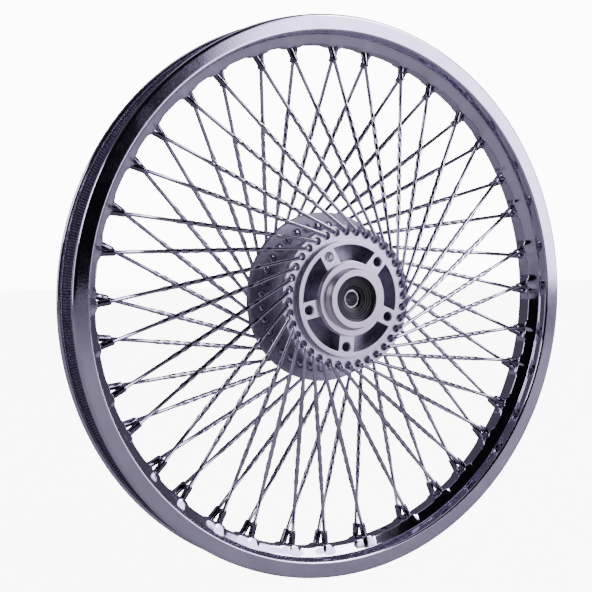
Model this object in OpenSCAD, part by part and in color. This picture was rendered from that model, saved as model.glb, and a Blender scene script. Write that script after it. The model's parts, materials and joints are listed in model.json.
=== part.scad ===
// Spoked motorcycle wheel, 1.40 x 17, with a disc flange on one side and a brake drum on the other.
// The wheel turns about Y. The origin is at the middle of the rim, and the disc side faces -Y.
// A clock angle starts at +Z and grows towards +X, as seen from the disc side.

/* [Rim] */
// Bead seat diameter
seat_d = 433.2; // [431:0.2:435]
// Width between the flanges at the bead seat
rim_w = 35.6; // [33:0.2:38]
// Height of the flange above the bead seat
flange_h = 12.4; // [11:0.2:14]
// Thickness of the rolled steel
rim_t = 1.7; // [1.5:0.1:1.9]
// Depth of the well below the bead seat
well_depth = 8.5; // [7.5:0.1:9.5]
// Half of the width of the well's floor, on the hub's side
well_half = 5.7; // [5.6:0.1:6.2]
// Valve hole diameter
valve_d = 8.4; // [8:0.1:9]
// Clock angle of the valve hole
valve_clock = 165.3; // [0:0.1:359.9]

/* [Lacing] */
// Angle between the two nipple pairs beside the valve hole
valve_gap = 13; // [12:0.1:14]
// Narrow angle between neighbouring nipple pairs
narrow_gap = 8.9; // [8.6:0.1:9.2]
// Half of the angle between the two nipples of a pair
nipple_half = 1.2; // [1.1:0.05:1.3]
// Distance of each nipple from the rim's middle plane
nipple_side = 1.3; // [1.2:0.1:1.5]
// Clock angle of the disc side hole that laces to the first pair
disc_hole_clock = 207.9; // [206:0.1:210]
// Clock angle of the drum side hole that laces to the first pair
drum_hole_clock = 132.9; // [131:0.1:135]

/* [Spokes and nipples] */
// Diameter of the plain ends of a spoke
wire_d = 3; // [2.9:0.05:3.1]
// Diameter of the thick middle of a spoke
swell_d = 4.2; // [3.6:0.1:4.4]
// Plain length at the hub end
hub_end = 30; // [24:1:36]
// Plain length at the rim end, from the nipple's seat
rim_end = 58; // [50:1:64]
// Body diameter of a nipple
nipple_d = 5.6; // [5.4:0.1:5.8]
// Body length of a nipple
nipple_len = 16.2; // [15:0.2:17]

/* [Hub] */
// Diameter of the disc side hole circle
disc_pcd = 109.6; // [109:0.2:110]
// Diameter of the disc side flange
disc_flange_d = 119.4; // [119:0.2:120.4]
// Diameter of the drum side hole circle
drum_pcd = 118; // [117:0.2:119]
// Diameter of the drum side flange
drum_flange_d = 141; // [138:0.5:144]
// Diameter of the brake drum
drum_d = 95; // [93:0.5:96]
// Bolt circle diameter of the brake disc
bolt_pcd = 78.2; // [77.8:0.1:78.6]
// Tapping diameter of the disc's bolts
bolt_d = 6.8; // [6.4:0.1:7]
// Clock angle of one bolt
bolt_clock = 185.4; // [0:0.1:359.9]
// Diameter of the disc's centring spigot
spigot_d = 60; // [59:0.1:60.4]

/* [Bearings] */
// Axle diameter
axle_d = 12; // [11.9:0.1:12.1]
// Outer diameter of a bearing
bearing_d = 37; // [36.9:0.1:37.1]
// Width of a bearing
bearing_w = 12; // [11.8:0.1:12]

/* [Hidden] */
$fn = 48;

PAIRS = 36;
chrome = [0.72, 0.71, 0.78];
dark_chrome = [0.45, 0.44, 0.5];
alloy = [0.68, 0.67, 0.74];
steel = [0.6, 0.6, 0.63];
iron = [0.38, 0.37, 0.37];
rubber = [0.08, 0.08, 0.09];

// Rim, as radii (r) and distances from the middle plane (y)
seat_r = seat_d / 2;
lip_r = seat_r + flange_h;
lip_bead = 2.2;
lip_step = 0.1;
flange_y = rim_w / 2 + rim_t;
well_r = seat_r - well_depth;
seat_end_y = well_half + 4;
seat_slope = 5;
seat_end_r = seat_r - (rim_w / 2 - seat_end_y) * tan(seat_slope);
wall_step = 0.8;
corner = 1.2;

// Lacing
wide_gap = (360 - valve_gap - 17 * narrow_gap) / 18;
head_seat_r = well_r + 1.3;
nipple_head_d = 7.6;
nipple_head_h = 2;
nipple_bore_r = wire_d / 2 + 0.05;
hole_slack = 0.1;
punch_sides = 12;

// Hub faces, measured along the axle
nose_y = -41.5;
nose_r = 23.3;
spigot_y = -35;
lug_y = -31.4;
disc_face_y = -26.4;
flange_t = 6;
drum_face_y = 9;
drum_back_y = drum_face_y + flange_t;
drum_floor_y = 14.6;
drum_mouth_y = 33;
ring_out_r = 47.5;
ring_in_r = 43.7;
pocket_y = -15;
lug_w = 14;
neck_r = 46;
waist_r = 51.3;
drum_shell_r = 55.6;
liner_r = 51;
lug_hole_depth = 13;
countersink = 0.9;
bore_in_r = 14;

// Spoke ends
elbow_r = 1.75;
elbow_lift = 3.7;
head_r = 3.3;
head_h = 2.2;
recess_r = 3.3;
recess_depth = 2.6;
recess_shift = 1.2;
drum_recess_r = 3.9;
drum_recess_depth = 1.5;
taper = 6;

// Bearings and seal
disc_bearing_y = -27.2;
drum_bearing_y = 8.2;
ball_r = 3.969;
pitch_r = 12.25;
race_slack = 0.04;
balls = 7;
inner_land_r = 9.9;
outer_land_r = 14.6;
shield_seat_r = 15.6;
shield_t = 0.8;
land_slack = 0.25;
edge_slack = 0.1;
seal_w = 5;
seal_y = nose_y + 2.6;

// Clock angle of the nipple pair i, counted clockwise from the valve hole
function side_angle(i) = valve_gap / 2 + floor((i + 1) / 2) * wide_gap + floor(i / 2) * narrow_gap;
function pair_clock(i) =
    i < PAIRS / 2 ? valve_clock + side_angle(i) : valve_clock + 360 - side_angle(PAIRS - 1 - i);

// One spoke: corner distance from the middle plane, hole circle radius, and clock angle from hole to nipple
function spoke_run(hole_r, sweep) =
    norm([head_seat_r * sin(sweep), head_seat_r * cos(sweep) - hole_r]);
function spoke_heading(hole_r, sweep) =
    atan2(head_seat_r * sin(sweep), head_seat_r * cos(sweep) - hole_r);
function spoke_slope(corner_y, hole_r, sweep) = atan((corner_y - nipple_side) / spoke_run(hole_r, sweep));
function spoke_len(corner_y, hole_r, sweep) = norm([corner_y - nipple_side, spoke_run(hole_r, sweep)]);

disc_corner_y = -disc_face_y + elbow_lift;
drum_corner_y = drum_back_y + elbow_lift;
disc_shank = elbow_lift + flange_t;
drum_shank = elbow_lift + flange_t - drum_recess_depth;
function disc_hole(i) = disc_hole_clock + i * 360 / PAIRS;
function drum_hole(i) = drum_hole_clock + i * 360 / PAIRS;
function disc_sweep(i) = pair_clock(i) - nipple_half - disc_hole(i);
function drum_sweep(i) = pair_clock(i) + nipple_half - drum_hole(i);

// Turns a shape drawn at twelve o'clock to a clock angle
module at_clock(angle) {
    rotate([0, angle, 0]) children();
}

// Spins an outline of [radius, y] points about the axle
module spin() {
    rotate([-90, 0, 0]) rotate_extrude($fn = 96) children();
}

module ring(r_in, r_out, y_low, y_high) {
    spin() translate([r_in, y_low]) square([r_out - r_in, y_high - y_low]);
}

// Stands children on the corner of a spoke, Z along its plan line and +Y towards the rim's middle plane
module at_corner(corner_y, hole_r, sweep) {
    translate([0, -corner_y, hole_r])
        rotate([0, spoke_heading(hole_r, sweep), 0]) children();
}

// Stands children on the nipple's seat, Z along the spoke and away from the hub
module at_seat(corner_y, hole_r, sweep) {
    at_corner(corner_y, hole_r, sweep)
        rotate([-spoke_slope(corner_y, hole_r, sweep), 0, 0])
            translate([0, 0, spoke_len(corner_y, hole_r, sweep)]) children();
}

// Repeats children's place for every spoke of the disc side, drawn as seen from that side
module disc_side_seats() {
    for (i = [0 : PAIRS - 1])
        at_clock(disc_hole(i)) at_seat(disc_corner_y, disc_pcd / 2, disc_sweep(i)) children();
}

module drum_side_seats() {
    for (i = [0 : PAIRS - 1])
        mirror([0, 1, 0])
            at_clock(drum_hole(i)) at_seat(drum_corner_y, drum_pcd / 2, drum_sweep(i)) children();
}

// ---- Rim ----

function half_outline() = [
    [well_r - rim_t, well_half],
    [seat_end_r - rim_t, seat_end_y],
    [seat_r - rim_t, flange_y - corner],
    [seat_r - rim_t + corner, flange_y],
    [lip_r - lip_bead, flange_y - lip_step],
    [lip_r - lip_bead, flange_y - rim_t],
    [seat_r + corner, flange_y - rim_t],
    [seat_r, flange_y - rim_t - corner],
    [seat_end_r, seat_end_y - wall_step],
    [well_r, well_half - wall_step]
];

module hoop() {
    half = half_outline();
    spin() polygon(concat(half, [for (i = [len(half) - 1 : -1 : 0]) [half[i][0], -half[i][1]]]));
    for (side = [-1, 1])
        spin() translate([lip_r - lip_bead, side * (flange_y - lip_bead)]) circle(r = lip_bead);
}

module nipple_hole() {
    flat_to_flat = nipple_d + 2 * hole_slack;
    translate([0, 0, -3 * rim_t])
        cylinder(d = flat_to_flat / cos(180 / punch_sides), h = 4 * rim_t, $fn = punch_sides);
}

module rim() {
    color(chrome) difference() {
        hoop();
        disc_side_seats() nipple_hole();
        drum_side_seats() nipple_hole();
        at_clock(valve_clock) translate([0, 0, well_r - 2 * rim_t]) cylinder(d = valve_d, h = 4 * rim_t);
    }
}

// ---- Spokes and nipples ----

module spoke(corner_y, hole_r, sweep, shank) {
    length = spoke_len(corner_y, hole_r, sweep);
    wire_r = wire_d / 2;
    at_corner(corner_y, hole_r, sweep) {
        sphere(r = elbow_r);
        rotate([-90, 0, 0])
            rotate_extrude() polygon([
                [0, 0],
                [wire_r, 0],
                [wire_r, shank],
                [head_r, shank],
                [head_r, shank + head_h],
                [0, shank + head_h]
            ]);
        rotate([-spoke_slope(corner_y, hole_r, sweep), 0, 0])
            rotate_extrude() polygon([
                [0, 0],
                [wire_r, 0],
                [wire_r, hub_end],
                [swell_d / 2, hub_end + taper],
                [swell_d / 2, length - rim_end],
                [wire_r, length - rim_end + taper],
                [wire_r, length + nipple_head_h / 2],
                [0, length + nipple_head_h / 2]
            ]);
    }
}

module disc_side_spokes() {
    color(chrome)
        for (i = [0 : PAIRS - 1])
            at_clock(disc_hole(i)) spoke(disc_corner_y, disc_pcd / 2, disc_sweep(i), disc_shank);
}

module drum_side_spokes() {
    color(chrome)
        for (i = [0 : PAIRS - 1])
            mirror([0, 1, 0])
                at_clock(drum_hole(i)) spoke(drum_corner_y, drum_pcd / 2, drum_sweep(i), drum_shank);
}

module nipple() {
    rotate_extrude() polygon([
        [nipple_bore_r, -nipple_len],
        [nipple_d / 2, -nipple_len],
        [nipple_d / 2, 0],
        [nipple_head_d / 2, 0],
        [nipple_head_d / 2, nipple_head_h / 2],
        [nipple_d / 2, nipple_head_h],
        [nipple_bore_r, nipple_head_h]
    ]);
}

module disc_side_nipples() {
    color(dark_chrome) disc_side_seats() nipple();
}

module drum_side_nipples() {
    color(dark_chrome) drum_side_seats() nipple();
}

// ---- Hub ----

module hub_section() {
    polygon([
        [bearing_d / 2, nose_y],
        [nose_r, nose_y],
        [nose_r, spigot_y - 2],
        [nose_r + 2, spigot_y],
        [spigot_d / 2, spigot_y],
        [spigot_d / 2, lug_y],
        [ring_out_r, lug_y],
        [ring_out_r, disc_face_y],
        [disc_flange_d / 2, disc_face_y],
        [disc_flange_d / 2, disc_face_y + flange_t],
        [neck_r, disc_face_y + flange_t],
        [waist_r, drum_face_y - 2],
        [waist_r, drum_face_y],
        [drum_flange_d / 2, drum_face_y],
        [drum_flange_d / 2, drum_back_y],
        [drum_shell_r, drum_back_y],
        [drum_shell_r, drum_mouth_y],
        [liner_r, drum_mouth_y],
        [liner_r, drum_floor_y],
        [bearing_d / 2, drum_floor_y],
        [bearing_d / 2, drum_bearing_y - bearing_w / 2],
        [bore_in_r, drum_bearing_y - bearing_w / 2],
        [bore_in_r, disc_bearing_y + bearing_w / 2],
        [bearing_d / 2, disc_bearing_y + bearing_w / 2]
    ]);
}

// The five cast pockets around the spigot, with the bolt lugs left standing between them
module pockets() {
    difference() {
        ring(spigot_d / 2 + 0.6, ring_in_r, lug_y - 1, pocket_y);
        for (k = [0 : 4])
            at_clock(bolt_clock + 72 * k)
                translate([-lug_w / 2, lug_y - 2, 0]) cube([lug_w, pocket_y - lug_y + 3, ring_in_r + 1]);
    }
}

module bolt_hole() {
    translate([0, lug_y, bolt_pcd / 2]) rotate([-90, 0, 0]) {
        cylinder(d = bolt_d, h = lug_hole_depth);
        cylinder(d1 = bolt_d + 2 * countersink, d2 = bolt_d, h = countersink);
    }
}

module disc_spoke_hole(sweep) {
    at_corner(disc_corner_y, disc_pcd / 2, sweep) rotate([-90, 0, 0]) {
        cylinder(d = wire_d + 2 * hole_slack, h = disc_shank);
        translate([0, recess_shift, 0]) cylinder(r = recess_r, h = elbow_lift + recess_depth);
    }
}

module drum_spoke_hole(sweep) {
    at_corner(drum_corner_y, drum_pcd / 2, sweep) rotate([-90, 0, 0]) {
        cylinder(d = wire_d + 2 * hole_slack, h = drum_shank + 1);
        translate([0, 0, drum_shank]) cylinder(r = drum_recess_r, h = drum_recess_depth + 1);
    }
}

module hub() {
    color(alloy) difference() {
        spin() hub_section();
        pockets();
        for (k = [0 : 4])
            at_clock(bolt_clock + 72 * k) bolt_hole();
        for (i = [0 : PAIRS - 1])
            at_clock(disc_hole(i)) disc_spoke_hole(disc_sweep(i));
        for (i = [0 : PAIRS - 1])
            mirror([0, 1, 0]) at_clock(drum_hole(i)) drum_spoke_hole(drum_sweep(i));
    }
}

module brake_drum_liner() {
    color(iron) ring(drum_d / 2, liner_r, drum_floor_y, drum_mouth_y);
}

// ---- Bearings, each drawn about its own middle ----

module race_groove() {
    translate([pitch_r, 0]) circle(r = ball_r + race_slack);
}

module bearing_outer_ring() {
    color(steel) spin() difference() {
        translate([outer_land_r, -bearing_w / 2]) square([bearing_d / 2 - outer_land_r, bearing_w]);
        race_groove();
        for (side = [-1, 1])
            translate([0, side * bearing_w / 2])
                square([2 * shield_seat_r, 2 * (shield_t + edge_slack)], center = true);
    }
}

module bearing_inner_ring() {
    color(steel) spin() difference() {
        translate([axle_d / 2, -bearing_w / 2]) square([inner_land_r - axle_d / 2, bearing_w]);
        race_groove();
    }
}

module bearing_balls() {
    color(steel)
        for (k = [0 : balls - 1])
            at_clock(k * 360 / balls) translate([0, 0, pitch_r]) sphere(r = ball_r);
}

module bearing_cage() {
    cage_half = 4.6;
    cage_r = 1.1;
    color(steel) difference() {
        ring(pitch_r - cage_r, pitch_r + cage_r, -cage_half, cage_half);
        for (k = [0 : balls - 1])
            at_clock(k * 360 / balls) translate([0, 0, pitch_r]) sphere(r = ball_r + 0.1);
    }
}

module bearing_shields() {
    outside = bearing_w / 2 - edge_slack;
    color(rubber)
        for (side = [0, 1])
            mirror([0, side, 0])
                ring(inner_land_r + land_slack, shield_seat_r, outside - shield_t + edge_slack, outside);
}

module at_disc_bearing() {
    translate([0, disc_bearing_y, 0]) children();
}

module at_drum_bearing() {
    translate([0, drum_bearing_y, 0]) children();
}

module distance_tube() {
    color(steel)
        ring(axle_d / 2, inner_land_r, disc_bearing_y + bearing_w / 2, drum_bearing_y - bearing_w / 2);
}

// ---- Oil seal ----

seal_lip_r = 10;
seal_web_t = 1.6;
spring_r = 0.6;

module oil_seal() {
    color(rubber) spin() difference() {
        translate([seal_lip_r, seal_y]) square([bearing_d / 2 - seal_lip_r, seal_w]);
        translate([seal_lip_r + 2, seal_y + seal_web_t])
            square([bearing_d / 2 - seal_lip_r - 4, seal_w]);
        translate([seal_lip_r + 2, seal_y + seal_w - 1.5]) circle(r = spring_r + edge_slack);
    }
}

module oil_seal_spring() {
    color(steel) spin() translate([seal_lip_r + 2, seal_y + seal_w - 1.5]) circle(r = spring_r);
}

rim();
hub();
brake_drum_liner();
disc_side_spokes();
drum_side_spokes();
disc_side_nipples();
drum_side_nipples();
at_disc_bearing() bearing_outer_ring();  // disc_bearing_outer_ring
at_disc_bearing() bearing_inner_ring();  // disc_bearing_inner_ring
at_disc_bearing() bearing_balls();  // disc_bearing_balls
at_disc_bearing() bearing_cage();  // disc_bearing_cage
at_disc_bearing() bearing_shields();  // disc_bearing_shields
at_drum_bearing() bearing_outer_ring();  // drum_bearing_outer_ring
at_drum_bearing() bearing_inner_ring();  // drum_bearing_inner_ring
at_drum_bearing() bearing_balls();  // drum_bearing_balls
at_drum_bearing() bearing_cage();  // drum_bearing_cage
at_drum_bearing() bearing_shields();  // drum_bearing_shields
distance_tube();
oil_seal();
oil_seal_spring();
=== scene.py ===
"""Looks for the spoked wheel.

Rim, spokes, nipples and seal as smooth meshes, then the materials, floor, light and camera.

The wheel turns about Y and its disc side faces -Y. A clock angle starts at +Z and grows towards +X.
Sizes are millimetres, and MM turns them into the frame's metres.
"""

import json
import math

import bpy
import numpy as np
from mathutils import Matrix, Vector


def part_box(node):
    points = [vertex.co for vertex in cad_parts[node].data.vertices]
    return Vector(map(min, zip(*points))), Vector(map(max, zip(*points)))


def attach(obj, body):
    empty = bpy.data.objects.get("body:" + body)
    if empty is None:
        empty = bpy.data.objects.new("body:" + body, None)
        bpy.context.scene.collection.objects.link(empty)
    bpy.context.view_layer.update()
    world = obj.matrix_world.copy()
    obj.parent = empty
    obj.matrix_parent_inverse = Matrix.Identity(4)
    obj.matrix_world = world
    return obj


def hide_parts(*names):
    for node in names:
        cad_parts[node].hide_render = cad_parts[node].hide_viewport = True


MM = 0.001
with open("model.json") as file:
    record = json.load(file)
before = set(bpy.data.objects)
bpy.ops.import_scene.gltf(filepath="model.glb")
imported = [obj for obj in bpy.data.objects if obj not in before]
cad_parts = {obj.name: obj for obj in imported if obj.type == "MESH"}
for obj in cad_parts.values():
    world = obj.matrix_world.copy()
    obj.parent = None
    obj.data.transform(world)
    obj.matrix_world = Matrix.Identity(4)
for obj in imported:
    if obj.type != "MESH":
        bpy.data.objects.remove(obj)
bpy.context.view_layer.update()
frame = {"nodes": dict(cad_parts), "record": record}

# Driving sizes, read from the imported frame
RIM_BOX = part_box("rim")
SEAL_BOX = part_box("oil_seal")
LIP_R = RIM_BOX[1][2] / MM
FLANGE_Y = RIM_BOX[1][1] / MM
SEAL_R = SEAL_BOX[1][2] / MM
SEAL_FRONT = SEAL_BOX[0][1] / MM
SEAL_BACK = SEAL_BOX[1][1] / MM

# Seal: lip just clear of the spacer on the 12 mm axle, and the innermost rib
LIP_IN = 7.4
RIB_IN = 10.0
RIBS = 4

# Rim section
WALL = 1.7
LIP_BEAD = 2.2
SEAT_R = LIP_R - 12.4
WELL_R = SEAT_R - 8.5
WELL_HALF = 5.7
SEAT_END_Y = WELL_HALF + 4
SEAT_END_R = SEAT_R - 0.7
WALL_STEP = 0.8
COLUMNS = 1440
ROLL_R = 1.0
OUTLINE_STEP = 1.2
VALVE_HOLE_R = 4.2

# Dimples pressed round the nipples: depth, and reach around the rim and across it
DIMPLE = 1.9
DIMPLE_LONG = 4.4
DIMPLE_WIDE = 7.0
CORNER = 1.2

# Lacing
PAIRS = 36
VALVE_CLOCK = 165.3
VALVE_GAP = 13
NARROW_GAP = 8.9
WIDE_GAP = (360 - VALVE_GAP - 17 * NARROW_GAP) / 18
NIPPLE_HALF = 1.2
NIPPLE_SIDE = 1.3
HEAD_SEAT_R = WELL_R + 1.3

# Spokes and nipples
WIRE_R = 1.5
SQUARE_HALF = 1.66
SQUARE_POWER = 6
SPOKE_SIDES = 16
BEND_R = 2.8
HUB_END = 30
RIM_END = 58
TAPER = 6
TWIST_TURN = 36
RING_STEP = 1
HEAD_R = 3.3
HEAD_H = 2.2
NIPPLE_R = 2.8
NIPPLE_LEN = 16.2
NIPPLE_SIDES = 24
FLAT_HALF = 0.9 * NIPPLE_R

# Spoke head, as height past the shank and radius
HEAD_PROFILE = (
    (HEAD_H, 0.4),
    (HEAD_H, 2.0),
    (HEAD_H - 0.6, 3.0),
    (0.9, HEAD_R),
    (0.3, HEAD_R),
    (0, 2.4),
    (0, WIRE_R),
)

# Nipple from its tip to its conical head, as distance past the seat, radius, and whether it has flats
NIPPLE_PROFILE = (
    (-NIPPLE_LEN, WIRE_R + 0.05, False),
    (-NIPPLE_LEN, NIPPLE_R - 0.6, False),
    (-NIPPLE_LEN + 0.5, NIPPLE_R - 0.1, False),
    (-NIPPLE_LEN + 1, NIPPLE_R, False),
    (-10.4, NIPPLE_R, False),
    (-9.9, FLAT_HALF, True),
    (-5.2, FLAT_HALF, True),
    (-4.7, NIPPLE_R, False),
    (0, NIPPLE_R, False),
    (0.2, 3.7, False),
    (1.2, 3.8, False),
    (2, 2.9, False),
    (2, 0.5, False),
)

# One side of the lacing: hole circle, corner height, clock of the first hole, sign along Y,
# which nipple of each pair it uses, and the shank's length through the flange
DISC_SIDE = {"hole_r": 54.8, "corner": 30.1, "first": 207.9, "y": -1, "pair": -1, "shank": 9.7}
DRUM_SIDE = {"hole_r": 59.0, "corner": 18.7, "first": 132.9, "y": 1, "pair": 1, "shank": 8.2}


# ---- Mesh helpers ----


def add_mesh(name, verts, faces, materials, indices=None):
    """A smooth-shaded mesh object from millimetre points."""
    mesh = bpy.data.meshes.new(name)
    mesh.from_pydata((np.asarray(verts) * MM).tolist(), [], faces)
    for material in materials:
        mesh.materials.append(material)
    mesh.polygons.foreach_set("use_smooth", [True] * len(faces))
    if indices is not None:
        mesh.polygons.foreach_set("material_index", indices)
    mesh.update()
    obj = bpy.data.objects.new(name, mesh)
    bpy.context.scene.collection.objects.link(obj)
    return obj


def grid_faces(rows, columns, start=0, wrap_rows=False):
    """Quads between rows of points, where each row closes on itself."""
    faces = []
    for i in range(rows if wrap_rows else rows - 1):
        a = start + i * columns
        b = start + (i + 1) % rows * columns
        for j in range(columns):
            k = (j + 1) % columns
            faces.append((a + j, b + j, b + k, a + k))
    return faces


def tube(rings, start):
    """Points and faces of a tube through rings of points, closed at both ends."""
    rings = np.asarray(rings)
    count = rings.shape[1]
    faces = grid_faces(len(rings), count, start)
    last = start + (len(rings) - 1) * count
    faces.append(tuple(range(start + count - 1, start - 1, -1)))
    faces.append(tuple(range(last, last + count)))
    return rings.reshape(-1, 3), faces


def arc(centre, radius, first, last, steps):
    """Points on an arc in the (radius, y) plane."""
    angles = np.radians(np.linspace(first, last, steps))
    return [(centre[0] + radius * math.cos(a), centre[1] + radius * math.sin(a)) for a in angles]


def divided(points, step):
    """The same outline with no edge longer than step."""
    out = []
    for a, b in zip(points, points[1:]):
        count = max(1, int(math.dist(a, b) / step))
        out += [tuple(np.add(a, np.subtract(b, a) * i / count)) for i in range(count)]
    return out + [points[-1]]


def rounded(points, radius, steps=4):
    """An open outline with each inner corner rounded."""
    out = [points[0]]
    for before, corner, after in zip(points, points[1:], points[2:]):
        c = np.array(corner)
        u = np.subtract(before, c)
        v = np.subtract(after, c)
        reach = min(radius, np.linalg.norm(u) / 2, np.linalg.norm(v) / 2)
        p = c + u / np.linalg.norm(u) * reach
        q = c + v / np.linalg.norm(v) * reach
        for t in np.linspace(0, 1, steps + 1):
            out.append(tuple((1 - t) ** 2 * p + 2 * t * (1 - t) * c + t**2 * q))
    return out + [points[-1]]


# ---- Materials ----


class Shader:
    """A small builder for node materials."""

    def __init__(self, name):
        self.material = bpy.data.materials.new(name)
        self.material.use_nodes = True
        self.nodes = self.material.node_tree.nodes
        self.links = self.material.node_tree.links
        self.principled = self.nodes["Principled BSDF"]
        self.coords = self.nodes.new("ShaderNodeTexCoord").outputs["Object"]

    def link(self, value, socket):
        if isinstance(value, (int, float, tuple)):
            socket.default_value = value
        else:
            self.links.new(value, socket)

    def math(self, operation, a, b=0.0):
        node = self.nodes.new("ShaderNodeMath")
        node.operation = operation
        self.link(a, node.inputs[0])
        self.link(b, node.inputs[1])
        return node.outputs[0]

    def noise(self, scale, detail=4.0, roughness=0.6, stretch=None):
        vector = self.coords
        if stretch:
            mapping = self.nodes.new("ShaderNodeMapping")
            self.links.new(vector, mapping.inputs["Vector"])
            mapping.inputs["Scale"].default_value = stretch
            vector = mapping.outputs["Vector"]
        node = self.nodes.new("ShaderNodeTexNoise")
        self.links.new(vector, node.inputs["Vector"])
        node.inputs["Scale"].default_value = scale
        node.inputs["Detail"].default_value = detail
        node.inputs["Roughness"].default_value = roughness
        return node.outputs["Fac"]

    def span(self, value, low, high, to_low=0.0, to_high=1.0):
        node = self.nodes.new("ShaderNodeMapRange")
        self.link(value, node.inputs["Value"])
        node.inputs["From Min"].default_value = low
        node.inputs["From Max"].default_value = high
        node.inputs["To Min"].default_value = to_low
        node.inputs["To Max"].default_value = to_high
        return node.outputs["Result"]

    def mix(self, factor, a, b):
        node = self.nodes.new("ShaderNodeMix")
        node.data_type = "RGBA"
        self.link(factor, node.inputs["Factor"])
        self.link(a, node.inputs["A"])
        self.link(b, node.inputs["B"])
        return node.outputs["Result"]

    def parts(self):
        """Radius from the spin axis, distance along it, and clock angle in radians."""
        node = self.nodes.new("ShaderNodeSeparateXYZ")
        self.links.new(self.coords, node.inputs[0])
        x, y, z = node.outputs
        square = self.math("ADD", self.math("MULTIPLY", x, x), self.math("MULTIPLY", z, z))
        return self.math("SQRT", square), y, self.math("ARCTAN2", x, z)

    def bump(self, height, strength, distance, normal=None):
        node = self.nodes.new("ShaderNodeBump")
        node.inputs["Strength"].default_value = strength
        node.inputs["Distance"].default_value = distance
        self.link(height, node.inputs["Height"])
        if normal is not None:
            self.links.new(normal, node.inputs["Normal"])
        return node.outputs["Normal"]

    def bevel(self, radius):
        node = self.nodes.new("ShaderNodeBevel")
        node.samples = 6
        node.inputs["Radius"].default_value = radius
        return node.outputs["Normal"]

    def finish(self, color, metallic, roughness, normal):
        self.link(color, self.principled.inputs["Base Color"])
        self.link(metallic, self.principled.inputs["Metallic"])
        self.link(roughness, self.principled.inputs["Roughness"])
        self.links.new(normal, self.principled.inputs["Normal"])
        return self.material


def worn_metal(name, bright, dull, low_rough, high_rough, grain=900.0, bump=0.05):
    """Polished or ground metal with faint smudges, fine scratches and a little surface unevenness."""
    s = Shader(name)
    smudge = s.span(s.noise(38.0), 0.38, 0.68)
    color = s.mix(smudge, bright, dull)
    scratch = s.noise(grain, 2.0, 0.5, (1.0, 0.15, 1.0))
    scuff = s.span(scratch, 0.55, 0.8, 0, 0.05)
    roughness = s.math("ADD", s.span(smudge, 0, 1, low_rough, high_rough), scuff)
    return s.finish(color, 1.0, roughness, s.bump(scratch, bump, 0.0002))


def knurled_shaded_metal():
    """The tyre side of the seats: chrome over pressed ridges that run across the rim, in a darker colour
    that is painted shade inside the channel, lighter on the crests and darker in the hollows as painted
    highlight and shade.
    """
    s = Shader("rim_knurled_painted_shade_chrome")
    ridges = 620.0
    clock = s.parts()[2]
    wave = s.span(s.math("SINE", s.math("MULTIPLY", clock, ridges)), -1, 1)
    # Painted shade and highlight: the colour runs dark in the ridge hollows and light on the crests, and
    # all of it is darker than the rim chrome as shade inside the channel.
    color = s.mix(s.span(wave, 0.1, 0.9), (0.22, 0.21, 0.26, 1), (0.5, 0.49, 0.56, 1))
    roughness = s.span(s.noise(60.0), 0.3, 0.7, 0.16, 0.32)
    return s.finish(color, 1.0, roughness, s.bump(wave, 0.5, 0.0005))


def cast_alloy():
    """Hub casting: turned faces with fine rings, and a grainy cast surface elsewhere."""
    s = Shader("hub_cast_alloy")
    radius, along, _ = s.parts()
    rings = s.span(s.math("SINE", s.math("MULTIPLY", radius, 9000.0)), -1, 1)
    geometry = s.nodes.new("ShaderNodeNewGeometry")
    split = s.nodes.new("ShaderNodeSeparateXYZ")
    s.links.new(geometry.outputs["Normal"], split.inputs[0])
    facing = s.span(s.math("ABSOLUTE", split.outputs[1]), 0.9, 0.99)
    shallow = s.span(along, -0.026, -0.0255, 1, 0)
    turned = s.math("MULTIPLY", facing, shallow)
    nose = s.math("MULTIPLY", s.span(radius, 0.0304, 0.0301), s.span(along, -0.030, -0.0305))
    turned = s.math("MAXIMUM", turned, nose)
    sand = s.noise(1500.0, 6.0, 0.7)
    stain = s.span(s.noise(55.0), 0.35, 0.7)
    cast = s.mix(stain, (0.56, 0.54, 0.63, 1), (0.43, 0.41, 0.49, 1))
    bright = s.mix(stain, (0.86, 0.83, 0.93, 1), (0.76, 0.73, 0.83, 1))
    pinkish = s.mix(nose, bright, (0.8, 0.73, 0.8, 1))
    color = s.mix(turned, cast, pinkish)
    roughness = s.math("ADD", s.span(turned, 0, 1, 0.46, 0.3), s.span(sand, 0.3, 0.7, -0.04, 0.06))
    soft_edge = s.bevel(0.0005)
    grain = s.bump(s.math("MULTIPLY", sand, s.math("SUBTRACT", 1.0, turned)), 0.35, 0.0004, soft_edge)
    normal = s.bump(s.math("MULTIPLY", rings, turned), 0.08, 0.00015, grain)
    return s.finish(color, 1.0, roughness, normal)


def drum_iron():
    s = Shader("drum_turned_iron")
    along = s.parts()[1]
    rings = s.span(s.math("SINE", s.math("MULTIPLY", along, 12000.0)), -1, 1)
    rust = s.span(s.noise(70.0), 0.5, 0.75)
    color = s.mix(rust, (0.34, 0.33, 0.33, 1), (0.22, 0.16, 0.12, 1))
    roughness = s.span(rust, 0, 1, 0.32, 0.6)
    return s.finish(color, 1.0, roughness, s.bump(rings, 0.15, 0.0002))


def black_rubber(name, shine):
    s = Shader(name)
    dust = s.span(s.noise(120.0), 0.45, 0.75)
    color = s.mix(dust, (0.008, 0.008, 0.01, 1), (0.035, 0.034, 0.038, 1))
    roughness = s.span(dust, 0, 1, shine, shine + 0.2)
    return s.finish(color, 0.0, roughness, s.bump(s.noise(1800.0), 0.15, 0.0002))


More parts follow.
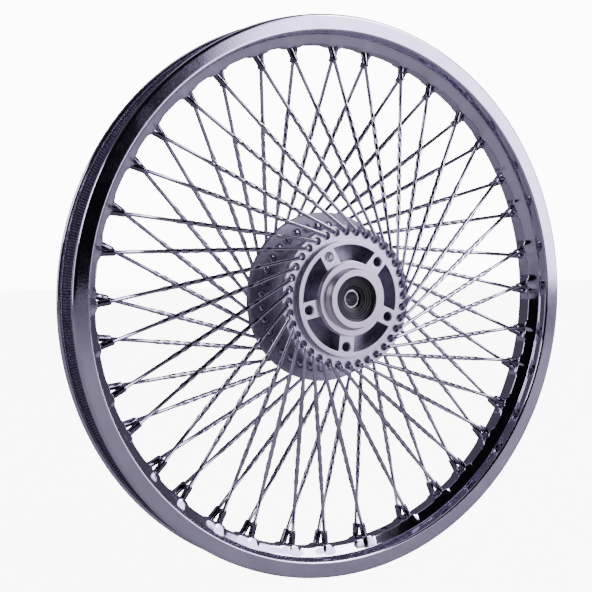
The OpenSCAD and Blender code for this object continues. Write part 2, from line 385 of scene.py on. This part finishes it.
RIM_CHROME = worn_metal("rim_chrome", (0.72, 0.69, 0.82, 1), (0.64, 0.61, 0.74, 1), 0.035, 0.09)
KNURLED_PAINTED_SHADE = knurled_shaded_metal()
SPOKE_CHROME = worn_metal("spoke_chrome", (0.66, 0.63, 0.75, 1), (0.5, 0.48, 0.57, 1), 0.06, 0.16, 1400.0)
NIPPLE_CHROME = worn_metal(
    "nipple_dark_chrome", (0.28, 0.26, 0.33, 1), (0.19, 0.18, 0.23, 1), 0.08, 0.2, 1400.0
)
BEARING_STEEL = worn_metal("bearing_steel", (0.72, 0.71, 0.75, 1), (0.6, 0.59, 0.62, 1), 0.14, 0.26)
HUB_ALLOY = cast_alloy()
DRUM_IRON = drum_iron()
SEAL_RUBBER = black_rubber("seal_rubber", 0.3)
SHIELD_RUBBER = black_rubber("shield_rubber", 0.45)

SLOT_MATERIALS = {
    "rim_chrome": RIM_CHROME,
    "spoke_chrome": SPOKE_CHROME,
    "nipple_chrome": NIPPLE_CHROME,
    "hub_alloy": HUB_ALLOY,
    "drum_iron": DRUM_IRON,
    "bearing_steel": BEARING_STEEL,
    "shield_rubber": SHIELD_RUBBER,
    "seal_rubber": SEAL_RUBBER,
}


def dress_cad_nodes():
    """Puts the detailed materials on the CAD nodes."""
    for part in frame["record"]["subparts"]:
        mesh = frame["nodes"][part["node"]].data
        mesh.materials.clear()
        mesh.materials.append(SLOT_MATERIALS[part["material_slot"]])


# ---- Lacing ----


def side_angle(i):
    return VALVE_GAP / 2 + (i + 1) // 2 * WIDE_GAP + i // 2 * NARROW_GAP


def pair_clock(i):
    if i < PAIRS / 2:
        return VALVE_CLOCK + side_angle(i)
    return VALVE_CLOCK + 360 - side_angle(PAIRS - 1 - i)


def at_clock(radius, y, clock):
    """A point at that distance from the spin axis, along it, and clock angle in degrees."""
    a = math.radians(clock)
    return np.array([radius * math.sin(a), y, radius * math.cos(a)])


def spoke_line(side, i):
    """Corner and seat of one spoke, and the direction its shank takes into the flange."""
    corner = at_clock(side["hole_r"], side["y"] * side["corner"], side["first"] + i * 360 / PAIRS)
    seat = at_clock(HEAD_SEAT_R, side["y"] * NIPPLE_SIDE, pair_clock(i) + side["pair"] * NIPPLE_HALF)
    return corner, seat, np.array([0.0, -side["y"], 0.0])


def ring_at(centre, along, across, radii):
    """A ring of points about centre, square to along, with the first point towards across."""
    across = across - along * np.dot(across, along)
    across /= np.linalg.norm(across)
    other = np.cross(along, across)
    turn = np.linspace(0, 2 * math.pi, len(radii), endpoint=False)
    return [centre + r * (across * math.cos(t) + other * math.sin(t)) for r, t in zip(radii, turn)]


def square_radii(amount, twist, count, half, power):
    """Radii of a rounded square turned by twist, mixed with the plain round wire by amount."""
    turn = np.linspace(0, 2 * math.pi, count, endpoint=False) - twist
    square = half / (np.abs(np.cos(turn)) ** power + np.abs(np.sin(turn)) ** power) ** (1 / power)
    return WIRE_R + amount * (square - WIRE_R)


def spoke_rings(corner, seat, shank_way, shank, twist_start):
    """Rings of one spoke: dished head, shank, elbow, plain end, twisted square middle, plain end."""
    out_way = seat - corner
    length = np.linalg.norm(out_way)
    out_way = out_way / length
    binormal = np.cross(shank_way, out_way)
    bend = math.acos(np.dot(shank_way, out_way))
    reach = BEND_R * math.tan((math.pi - bend) / 2)
    wire = [WIRE_R] * SPOKE_SIDES
    rings = []
    for depth, radius in HEAD_PROFILE:
        head = corner + shank_way * (shank + depth)
        rings.append(ring_at(head, -shank_way, binormal, [radius] * SPOKE_SIDES))
    start = corner + shank_way * reach
    inward = np.cross(binormal / np.linalg.norm(binormal), -shank_way)
    if np.dot(inward, out_way) < 0:
        inward = -inward
    centre = start + inward * BEND_R
    for t in np.linspace(0, math.pi - bend, 9):
        point = centre - inward * BEND_R * math.cos(t) - shank_way * BEND_R * math.sin(t)
        way = -shank_way * math.cos(t) + inward * math.sin(t)
        rings.append(ring_at(point, way, binormal, wire))
    twisted_end = length - RIM_END + TAPER
    for s in np.arange(HUB_END, twisted_end + RING_STEP, RING_STEP):
        amount = np.clip(min(s - HUB_END, twisted_end - s) / TAPER, 0, 1)
        twist = 2 * math.pi * (s - HUB_END) / TWIST_TURN + twist_start
        radii = square_radii(amount, twist, SPOKE_SIDES, SQUARE_HALF, SQUARE_POWER)
        rings.append(ring_at(corner + out_way * s, out_way, binormal, radii))
    rings.append(ring_at(seat, out_way, binormal, wire))
    return rings


def spoke_set(name, side, node, rng):
    """The spokes of one side, laced hole by hole."""
    verts = []
    faces = []
    for i in range(PAIRS):
        corner, seat, shank_way = spoke_line(side, i)
        rings = spoke_rings(corner, seat, shank_way, side["shank"], rng.uniform(0, math.pi / 2))
        points, more = tube(rings, len(verts))
        verts.extend(points)
        faces += more
    obj = add_mesh(name, verts, faces, [SPOKE_CHROME])
    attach(obj, "wheel")
    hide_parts(node)


def nipple_rings(corner, seat, turn):
    """Rings of one nipple: tip with a chamfer, four flats, round neck, conical head."""
    out_way = (seat - corner) / np.linalg.norm(seat - corner)
    across = np.cross(out_way, (0, 1, 0))
    rings = []
    for z, radius, squared in NIPPLE_PROFILE:
        radii = [radius] * NIPPLE_SIDES
        if squared:
            radii = np.minimum(square_radii(1, turn, NIPPLE_SIDES, radius, 12), NIPPLE_R)
        rings.append(ring_at(seat + out_way * z, out_way, across, radii))
    return rings


def nipple_set(name, side, node, rng):
    verts = []
    faces = []
    for i in range(PAIRS):
        corner, seat, _ = spoke_line(side, i)
        points, more = tube(nipple_rings(corner, seat, rng.uniform(0, math.pi / 2)), len(verts))
        verts.extend(points)
        faces += more
    obj = add_mesh(name, verts, faces, [NIPPLE_CHROME])
    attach(obj, "wheel")
    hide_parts(node)


# ---- Rim ----


def rim_outline():
    """The closed rim section as (radius, y), from the well round both flanges."""
    inner = rounded(
        [
            (WELL_R - WALL, 0),
            (WELL_R - WALL, WELL_HALF),
            (SEAT_END_R - WALL, SEAT_END_Y),
            (SEAT_R - WALL, FLANGE_Y - CORNER),
            (SEAT_R - WALL + CORNER, FLANGE_Y),
            (LIP_R - LIP_BEAD, FLANGE_Y),
        ],
        ROLL_R,
    )
    lip = arc((LIP_R - LIP_BEAD, FLANGE_Y - LIP_BEAD), LIP_BEAD, 90, -150, 14)
    outer = rounded(
        [
            lip[-1],
            (LIP_R - 2 * LIP_BEAD - 0.6, FLANGE_Y - WALL),
            (SEAT_R + CORNER, FLANGE_Y - WALL),
            (SEAT_R, FLANGE_Y - WALL - CORNER),
            (SEAT_END_R, SEAT_END_Y - WALL_STEP),
            (WELL_R, WELL_HALF - WALL_STEP),
            (WELL_R, 0),
        ],
        ROLL_R,
    )
    half = divided(inner + lip[1:-1] + outer, OUTLINE_STEP)
    other = [(r, -y) for r, y in half[::-1]]
    return half[:-1] + other[:-1]


def dimple_depth(clock, y):
    """How far the well is pressed towards the hub at each nipple."""
    depth = np.zeros(np.broadcast(clock, y).shape)
    for i in range(PAIRS):
        for side in (DISC_SIDE, DRUM_SIDE):
            centre = pair_clock(i) + side["pair"] * NIPPLE_HALF
            around = np.radians((clock - centre + 180) % 360 - 180) * WELL_R / DIMPLE_LONG
            across = (y - side["y"] * NIPPLE_SIDE) / DIMPLE_WIDE
            bulge = np.exp(-(around**4)) * np.exp(-(across**4))
            depth = np.maximum(depth, bulge)
    return depth


def rim_shell():
    """The chromed hoop with its dimpled well and rolled lips, and a real valve hole."""
    outline = np.array(rim_outline())
    clock = np.linspace(0, 360, COLUMNS, endpoint=False)
    radius = np.repeat(outline[:, :1], COLUMNS, axis=1)
    y = np.repeat(outline[:, 1:], COLUMNS, axis=1)
    in_well = np.clip((SEAT_END_R - 2 - outline[:, :1]) / 4, 0, 1)
    radius = radius - DIMPLE * in_well * dimple_depth(clock[None, :], y)
    angle = np.radians(clock)[None, :]
    verts = np.stack([radius * np.sin(angle), y, radius * np.cos(angle)], axis=-1).reshape(-1, 3)
    faces = grid_faces(len(outline), COLUMNS, 0, True)
    middle = (outline + np.roll(outline, -1, axis=0)) / 2
    tyre_side = (middle[:, 0] > SEAT_R - 0.6) & (np.abs(middle[:, 1]) < FLANGE_Y - WALL + 0.1)
    # The tyre-side faces inside the channel get the darker knurled chrome, whose colour is painted shade.
    knurled = tyre_side & (middle[:, 0] < LIP_R - 2 * LIP_BEAD)
    indices = np.repeat(knurled.astype(int), COLUMNS)
    obj = add_mesh("rim_shell", verts, faces, [RIM_CHROME, KNURLED_PAINTED_SHADE], indices)
    drill_valve_hole(obj)
    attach(obj, "wheel")
    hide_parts("rim")


def drill_valve_hole(obj):
    """Cuts the valve hole through the well."""
    centre = at_clock(WELL_R, 0, VALVE_CLOCK) * MM
    bpy.ops.mesh.primitive_cylinder_add(vertices=48, radius=VALVE_HOLE_R * MM, depth=12 * MM)
    drill = bpy.context.object
    turn = Matrix.Rotation(math.radians(VALVE_CLOCK), 4, "Y")
    drill.matrix_world = Matrix.Translation(Vector(centre)) @ turn
    cut = obj.modifiers.new("valve_hole", "BOOLEAN")
    cut.operation = "DIFFERENCE"
    cut.object = drill
    depsgraph = bpy.context.evaluated_depsgraph_get()
    drilled = bpy.data.meshes.new_from_object(obj.evaluated_get(depsgraph))
    obj.modifiers.remove(cut)
    obj.data = drilled
    bpy.data.objects.remove(drill)


# ---- Seal ----


def ribbed_seal():
    """The black seal in the nose, with ribs on its face and a thin lip."""
    steps = 96
    outline = [(SEAL_R, SEAL_BACK), (SEAL_R, SEAL_FRONT)]
    face_out = SEAL_R - 1.2
    for k in range(RIBS):
        r_out = face_out - (face_out - RIB_IN) * k / RIBS
        r_in = face_out - (face_out - RIB_IN) * (k + 0.6) / RIBS
        depth = SEAL_FRONT + 0.5 + 0.7 * k
        outline += [(r_out, depth), (r_in, depth), (r_in, depth + 0.7)]
    outline += [
        (LIP_IN + 0.4, SEAL_FRONT + 3.6),
        (LIP_IN, SEAL_FRONT + 4.0),
        (LIP_IN + 1, SEAL_FRONT + 4.5),
        (13.0, SEAL_BACK),
    ]
    outline = np.array(rounded(outline, 0.3, 3))
    angle = np.linspace(0, 2 * math.pi, steps, endpoint=False)
    verts = [(r * math.sin(a), y, r * math.cos(a)) for r, y in outline for a in angle]
    obj = add_mesh("ribbed_seal", verts, grid_faces(len(outline), steps, 0, True), [SEAL_RUBBER])
    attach(obj, "wheel")
    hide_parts("oil_seal")


# ---- Stage ----


def floor():
    """A pale floor under the wheel."""
    s = Shader("pale_floor")
    grain = s.span(s.noise(14.0), 0.3, 0.7)
    color = s.mix(grain, (0.5, 0.5, 0.52, 1), (0.46, 0.46, 0.48, 1))
    material = s.finish(color, 0.0, s.span(grain, 0, 1, 0.7, 0.8), s.bump(s.noise(400.0), 0.05, 0.0005))
    seen = s.nodes.new("ShaderNodeLightPath").outputs["Is Camera Ray"]
    s.link((1, 1, 1, 1), s.principled.inputs["Emission Color"])
    s.link(s.math("MULTIPLY", seen, FLOOR_GLOW), s.principled.inputs["Emission Strength"])
    bpy.ops.mesh.primitive_plane_add(size=12, location=(0, 0, -LIP_R * MM - 0.0005))
    plane = bpy.context.object
    plane.name = "floor"
    plane.data.materials.append(material)


# Left bearing, right bearing, low, high, soft edge (degrees), power; bearing 0 is in front, 90 to the right
SOFT_BOXES = (
    (27, 56, -10, 30, 2.5, 4.2),
    (27, 56, -40, -10, 4, 0.7),
    (34, 60, 34, 60, 3, 0.9),
    (-118, -84, -25, 40, 4, 1.9),
    (-180, 180, 70, 120, 6, 0.6),
)
DARK_GAPS = (
    (-58, 24, -9, 58, 2.5, 0.05),
)

# Light of the plain room where no box shines, and what the camera sees behind and under the wheel
ROOM_LEVEL = 0.11
BACKDROP_GLOW = 12.0
FLOOR_GLOW = 9.0


def studio():
    """A studio room as the world: soft boxes right, left and above, and a dark gap in front."""
    world = bpy.data.worlds.new("studio")
    bpy.context.scene.world = world
    world.use_nodes = True
    nodes = world.node_tree.nodes
    links = world.node_tree.links
    background = nodes["Background"]
    coords = nodes.new("ShaderNodeTexCoord")
    split = nodes.new("ShaderNodeSeparateXYZ")
    links.new(coords.outputs["Generated"], split.inputs[0])

    def maths(operation, a, b=0.0):
        node = nodes.new("ShaderNodeMath")
        node.operation = operation
        for value, socket in ((a, node.inputs[0]), (b, node.inputs[1])):
            if isinstance(value, (int, float)):
                socket.default_value = value
            else:
                links.new(value, socket)
        return node.outputs[0]

    def ramp(value, low, high):
        node = nodes.new("ShaderNodeMapRange")
        node.interpolation_type = "SMOOTHSTEP"
        links.new(value, node.inputs["Value"])
        node.inputs["From Min"].default_value = low
        node.inputs["From Max"].default_value = high
        return node.outputs["Result"]

    to_degrees = 180 / math.pi
    ahead = maths("MULTIPLY", split.outputs[1], -1)
    bearing = maths("MULTIPLY", maths("ARCTAN2", split.outputs[0], ahead), to_degrees)
    height = maths("MULTIPLY", maths("ARCSINE", split.outputs[2]), to_degrees)

    def panel(left, right, low, high, edge):
        level = 1.0
        for value, start, end in ((bearing, left, right), (height, low, high)):
            level = maths("MULTIPLY", level, ramp(value, start - edge, start + edge))
            level = maths("MULTIPLY", level, ramp(value, end + edge, end - edge))
        return level

    level = ROOM_LEVEL
    for left, right, low, high, edge, power in SOFT_BOXES:
        level = maths("ADD", level, maths("MULTIPLY", panel(left, right, low, high, edge), power))
    for left, right, low, high, edge, keep in DARK_GAPS:
        shade = maths("MULTIPLY", panel(left, right, low, high, edge), 1 - keep)
        level = maths("MULTIPLY", level, maths("SUBTRACT", 1, shade))
    seen = nodes.new("ShaderNodeLightPath").outputs["Is Camera Ray"]
    unseen = maths("MULTIPLY", level, maths("SUBTRACT", 1, seen))
    strength = maths("ADD", unseen, maths("MULTIPLY", seen, BACKDROP_GLOW))
    tint = nodes.new("ShaderNodeMix")
    tint.data_type = "RGBA"
    links.new(seen, tint.inputs["Factor"])
    tint.inputs["A"].default_value = (0.82, 0.75, 1.0, 1)
    tint.inputs["B"].default_value = (1, 1, 1, 1)
    links.new(tint.outputs["Result"], background.inputs["Color"])
    links.new(strength, background.inputs["Strength"])


def lamp(name, location, size, power):
    data = bpy.data.lights.new(name, "AREA")
    data.shape = "RECTANGLE"
    data.size = size[0]
    data.size_y = size[1]
    data.energy = power
    data.color = (0.95, 0.93, 1.0)
    obj = bpy.data.objects.new(name, data)
    bpy.context.scene.collection.objects.link(obj)
    obj.location = location
    obj.rotation_euler = (-Vector(location)).to_track_quat("-Z", "Y").to_euler()


def camera():
    """A long lens from the left of the disc side, a little above the axle."""
    azimuth = math.radians(-29.38)
    elevation = math.radians(2.47)
    distance = 1.0257
    level = math.cos(elevation)
    back = Vector((math.sin(azimuth) * level, -math.cos(azimuth) * level, math.sin(elevation)))
    right = Vector((math.cos(azimuth), math.sin(azimuth), 0))
    data = bpy.data.cameras.new("camera")
    data.lens = 75.36
    data.sensor_width = 36
    obj = bpy.data.objects.new("camera", data)
    bpy.context.scene.collection.objects.link(obj)
    obj.location = back * distance - right * 0.0284 + back.cross(right) * 0.001
    obj.rotation_euler = back.to_track_quat("Z", "Y").to_euler()
    bpy.context.scene.camera = obj


def main():
    camera()
    rng = np.random.default_rng(17)
    dress_cad_nodes()
    rim_shell()
    spoke_set("twisted_disc_side_spokes", DISC_SIDE, "disc_side_spokes", rng)
    spoke_set("twisted_drum_side_spokes", DRUM_SIDE, "drum_side_spokes", rng)
    nipple_set("flatted_disc_side_nipples", DISC_SIDE, "disc_side_nipples", rng)
    nipple_set("flatted_drum_side_nipples", DRUM_SIDE, "drum_side_nipples", rng)
    ribbed_seal()
    floor()
    studio()
    lamp("key_lamp", (1.4, -1.6, 1.5), (0.8, 0.8), 22)
    lamp("fill_lamp", (-2.0, -0.6, 1.0), (0.6, 0.9), 8)


main()
